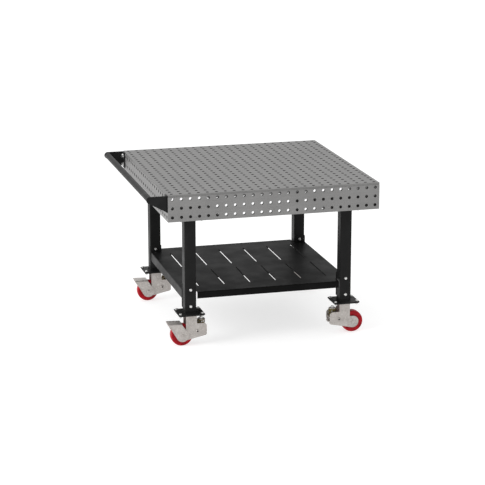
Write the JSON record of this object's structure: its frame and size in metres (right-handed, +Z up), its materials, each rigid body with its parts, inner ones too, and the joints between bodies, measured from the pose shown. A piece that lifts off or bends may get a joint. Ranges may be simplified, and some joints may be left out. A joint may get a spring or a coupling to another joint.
{
  "type": "welding table",
  "caption": "Square welding table with a perforated steel top and skirts, a slotted lower shelf, a push handle and sprung swivel casters.",
  "frame": {"origin": "on the floor, under the middle of the whole object, push handle included; the table's own middle is 58 mm to +X", "axes": "+Z up; +X away from the push handle; +Y from the front to the back"},
  "size_m": [1.3157, 1.2, 0.896],
  "materials": {
    "steel": "bare blasted steel, satin",
    "black": "black powder coat, fine texture",
    "zinc": "zinc plated, satin",
    "fastener": "bright zinc",
    "spring": "yellow zinc chromate",
    "tyre": "red polyurethane, satin",
    "core": "black moulded nylon"
  },
  "bodies": {
    "root": {"top_plate": "steel", "skirt_front": "steel", "skirt_rear": "steel", "skirt_left": "steel", "skirt_right": "steel", "rib_front": "steel", "rib_rear": "steel", "rib_left": "steel", "rib_right": "steel", "corner_plate_front_left": "steel", "corner_plate_front_right": "steel", "corner_plate_rear_left": "steel", "corner_plate_rear_right": "steel", "leg_front_left": "black", "leg_front_right": "black", "leg_rear_left": "black", "leg_rear_right": "black", "shelf_panel": "black", "shelf_rail_left": "black", "shelf_rail_right": "black", "shelf_beam_middle": "black", "push_handle": "black", "caster_front_left_mount_plate": "black", "caster_front_right_mount_plate": "black", "caster_rear_left_mount_plate": "black", "caster_rear_right_mount_plate": "black"},
    "front_left_swivel": {"caster_front_left_yoke": "zinc", "caster_front_left_pivot_bolt": "fastener", "caster_front_left_spring": "spring"},
    "front_left_arm": {"caster_front_left_arm": "zinc", "caster_front_left_axle": "fastener"},
    "front_left_wheel": {"caster_front_left_tyre": "tyre", "caster_front_left_hub": "core"},
    "front_left_spring_bolt": {"caster_front_left_spring_bolt": "fastener"},
    "front_left_brake": {"caster_front_left_pedal": "zinc"},
    "front_right_swivel": {"caster_front_right_yoke": "zinc", "caster_front_right_pivot_bolt": "fastener", "caster_front_right_spring": "spring"},
    "front_right_arm": {"caster_front_right_arm": "zinc", "caster_front_right_axle": "fastener"},
    "front_right_wheel": {"caster_front_right_tyre": "tyre", "caster_front_right_hub": "core"},
    "front_right_spring_bolt": {"caster_front_right_spring_bolt": "fastener"},
    "rear_left_swivel": {"caster_rear_left_yoke": "zinc", "caster_rear_left_pivot_bolt": "fastener", "caster_rear_left_spring": "spring"},
    "rear_left_arm": {"caster_rear_left_arm": "zinc", "caster_rear_left_axle": "fastener"},
    "rear_left_wheel": {"caster_rear_left_tyre": "tyre", "caster_rear_left_hub": "core"},
    "rear_left_spring_bolt": {"caster_rear_left_spring_bolt": "fastener"},
    "rear_left_brake": {"caster_rear_left_pedal": "zinc"},
    "rear_right_swivel": {"caster_rear_right_yoke": "zinc", "caster_rear_right_pivot_bolt": "fastener", "caster_rear_right_spring": "spring"},
    "rear_right_arm": {"caster_rear_right_arm": "zinc", "caster_rear_right_axle": "fastener"},
    "rear_right_wheel": {"caster_rear_right_tyre": "tyre", "caster_rear_right_hub": "core"},
    "rear_right_spring_bolt": {"caster_rear_right_spring_bolt": "fastener"}
  },
  "joints": [
    {"name": "front_left_swivel_turn", "type": "hinge", "parent": "root", "child": "front_left_swivel", "pos_m": [-0.392, -0.45, 0.17], "axis": [0, 0, 1], "continuous": true},
    {"name": "front_left_suspension", "type": "hinge", "parent": "front_left_swivel", "child": "front_left_arm", "pos_m": [-0.355, -0.45, 0.084], "axis": [0, 1, 0], "range_deg": [0, 8], "stiffness_Nm_per_rad": 500, "springref_deg": -17.19},
    {"name": "front_left_wheel_spin", "type": "hinge", "parent": "front_left_arm", "child": "front_left_wheel", "pos_m": [-0.44, -0.45, 0.0625], "axis": [0, 1, 0], "continuous": true},
    {"name": "front_left_spring_travel", "type": "slide", "parent": "front_left_swivel", "child": "front_left_spring_bolt", "axis": [0, 0, -1], "range_m": [0, 0.0045], "deforming": ["caster_front_left_spring"]},
    {"name": "front_left_brake_press", "type": "hinge", "parent": "front_left_arm", "child": "front_left_brake", "pos_m": [-0.44, -0.45, 0.0625], "axis": [0, -1, 0], "range_deg": [0, 15]},
    {"name": "front_right_swivel_turn", "type": "hinge", "parent": "root", "child": "front_right_swivel", "pos_m": [0.508, -0.45, 0.17], "axis": [0, 0, 1], "continuous": true},
    {"name": "front_right_suspension", "type": "hinge", "parent": "front_right_swivel", "child": "front_right_arm", "pos_m": [0.471, -0.45, 0.084], "axis": [0, -1, 0], "range_deg": [0, 8], "stiffness_Nm_per_rad": 500, "springref_deg": -17.19},
    {"name": "front_right_wheel_spin", "type": "hinge", "parent": "front_right_arm", "child": "front_right_wheel", "pos_m": [0.556, -0.45, 0.0625], "axis": [0, 1, 0], "continuous": true},
    {"name": "front_right_spring_travel", "type": "slide", "parent": "front_right_swivel", "child": "front_right_spring_bolt", "axis": [0, 0, -1], "range_m": [0, 0.0045], "deforming": ["caster_front_right_spring"]},
    {"name": "rear_left_swivel_turn", "type": "hinge", "parent": "root", "child": "rear_left_swivel", "pos_m": [-0.392, 0.45, 0.17], "axis": [0, 0, 1], "continuous": true},
    {"name": "rear_left_suspension", "type": "hinge", "parent": "rear_left_swivel", "child": "rear_left_arm", "pos_m": [-0.355, 0.45, 0.084], "axis": [0, 1, 0], "range_deg": [0, 8], "stiffness_Nm_per_rad": 500, "springref_deg": -17.19},
    {"name": "rear_left_wheel_spin", "type": "hinge", "parent": "rear_left_arm", "child": "rear_left_wheel", "pos_m": [-0.44, 0.45, 0.0625], "axis": [0, 1, 0], "continuous": true},
    {"name": "rear_left_spring_travel", "type": "slide", "parent": "rear_left_swivel", "child": "rear_left_spring_bolt", "axis": [0, 0, -1], "range_m": [0, 0.0045], "deforming": ["caster_rear_left_spring"]},
    {"name": "rear_left_brake_press", "type": "hinge", "parent": "rear_left_arm", "child": "rear_left_brake", "pos_m": [-0.44, 0.45, 0.0625], "axis": [0, -1, 0], "range_deg": [0, 15]},
    {"name": "rear_right_swivel_turn", "type": "hinge", "parent": "root", "child": "rear_right_swivel", "pos_m": [0.508, 0.45, 0.17], "axis": [0, 0, 1], "continuous": true},
    {"name": "rear_right_suspension", "type": "hinge", "parent": "rear_right_swivel", "child": "rear_right_arm", "pos_m": [0.471, 0.45, 0.084], "axis": [0, -1, 0], "range_deg": [0, 8], "stiffness_Nm_per_rad": 500, "springref_deg": -17.19},
    {"name": "rear_right_wheel_spin", "type": "hinge", "parent": "rear_right_arm", "child": "rear_right_wheel", "pos_m": [0.556, 0.45, 0.0625], "axis": [0, 1, 0], "continuous": true},
    {"name": "rear_right_spring_travel", "type": "slide", "parent": "rear_right_swivel", "child": "rear_right_spring_bolt", "axis": [0, 0, -1], "range_m": [0, 0.0045], "deforming": ["caster_rear_right_spring"]}
  ],
  "couplings": [
    {"joint": "front_left_spring_travel", "follows": "front_left_suspension", "m_per_rad": 0.029},
    {"joint": "front_right_spring_travel", "follows": "front_right_suspension", "m_per_rad": 0.029},
    {"joint": "rear_left_spring_travel", "follows": "rear_left_suspension", "m_per_rad": 0.029},
    {"joint": "rear_right_spring_travel", "follows": "rear_right_suspension", "m_per_rad": 0.029}
  ]
}
